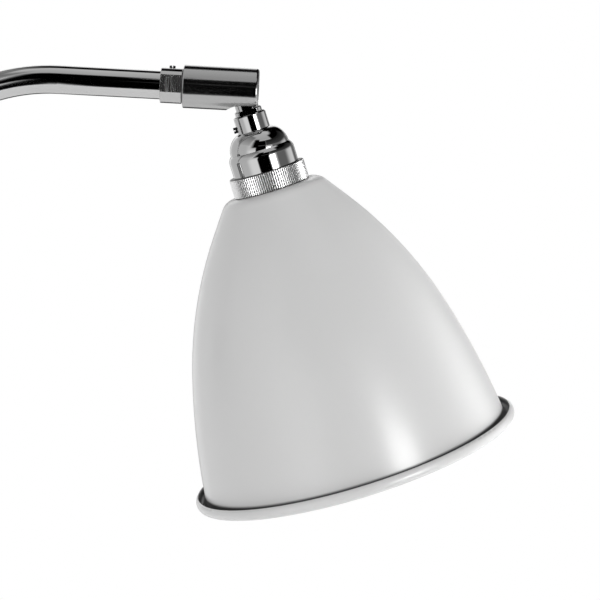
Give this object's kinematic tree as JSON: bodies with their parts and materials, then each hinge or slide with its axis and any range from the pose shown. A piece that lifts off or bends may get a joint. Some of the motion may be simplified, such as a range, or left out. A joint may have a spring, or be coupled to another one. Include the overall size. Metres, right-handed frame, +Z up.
{
  "type": "articulating wall lamp",
  "caption": "Wall lamp on a turning swan neck arm with a tilting knuckle, a stepped lampholder with a knurled ring and a white spun shade.",
  "frame": {"origin": "centre of the mounting plate's back face, midway between its two screw slots and on the wall's surface", "axes": "+X straight out from the wall, towards the shade; +Z up; Y along the wall, with the lamp's own mirror plane at Y = 0"},
  "size_m": [0.364, 0.1604, 0.2135],
  "materials": {
    "polished_chrome": "mirror polished chrome plate",
    "turned_chrome": "chrome plate, with fine cutting marks on the two spanner flats",
    "knurled_chrome": "satin chrome plate on straight knurling",
    "zinc_plated_steel": "bright zinc plate",
    "blackened_steel": "chemically blackened, slightly oiled",
    "plated_brass": "nickel plated, slightly dull",
    "white_polyamide": "moulded, matt",
    "glazed_ceramic": "white glaze",
    "bulb_cap_aluminium": "plain drawn",
    "black_insulator": "black glass insulator",
    "pearl_glass": "pearl, frosted inside",
    "white_gloss_paint": "smooth gloss stove enamel, inside and out"
  },
  "bodies": {
    "wall": {"mounting_plate": "zinc_plated_steel", "terminal_block": "white_polyamide", "terminal_screws": "plated_brass", "earth_screw": "plated_brass", "wall_rose": "polished_chrome", "rose_screws": "polished_chrome", "rose_nut": "zinc_plated_steel", "rose_inner_washer": "zinc_plated_steel", "rose_cover_washer": "polished_chrome", "distance_sleeve": "polished_chrome", "wall_nipple": "zinc_plated_steel", "wall_barrel": "polished_chrome", "wall_spigot": "zinc_plated_steel", "wall_joint_washer": "zinc_plated_steel"},
    "arm": {"arm_tube": "polished_chrome", "lower_hex_collar": "turned_chrome", "lower_lock_screw": "blackened_steel", "head_hex_collar": "turned_chrome", "head_lock_screw": "blackened_steel"},
    "knuckle": {"knuckle_housing": "polished_chrome", "head_spigot": "zinc_plated_steel", "head_joint_washer": "zinc_plated_steel", "pivot_pins": "polished_chrome"},
    "head": {"knuckle_stem": "polished_chrome", "holder_cap": "polished_chrome", "cap_grub_screw": "blackened_steel", "holder_body": "polished_chrome", "holder_insert": "glazed_ceramic", "insert_terminals": "plated_brass", "contact_plungers": "plated_brass", "plunger_springs": "zinc_plated_steel", "bayonet_liner": "plated_brass", "upper_shade_ring": "knurled_chrome", "lower_shade_ring": "knurled_chrome", "bulb_cap": "bulb_cap_aluminium", "bulb_disc": "black_insulator", "bulb_glass": "pearl_glass", "shade": "white_gloss_paint"}
  },
  "joints": [
    {"name": "arm_swing", "type": "hinge", "parent": "wall", "child": "arm", "pos_m": [0.052, 0, 0], "axis": [0, 0, 1], "range_deg": [-75, 75]},
    {"name": "head_roll", "type": "hinge", "parent": "arm", "child": "knuckle", "pos_m": [0.19502, 0, 0.1298], "axis": [0.9986, 0, -0.0532], "range_deg": [-150, 150]},
    {"name": "shade_tilt", "type": "hinge", "parent": "knuckle", "child": "head", "pos_m": [0.23317, 0, 0.12777], "axis": [0, -1, 0], "range_deg": [-20, 65]}
  ]
}
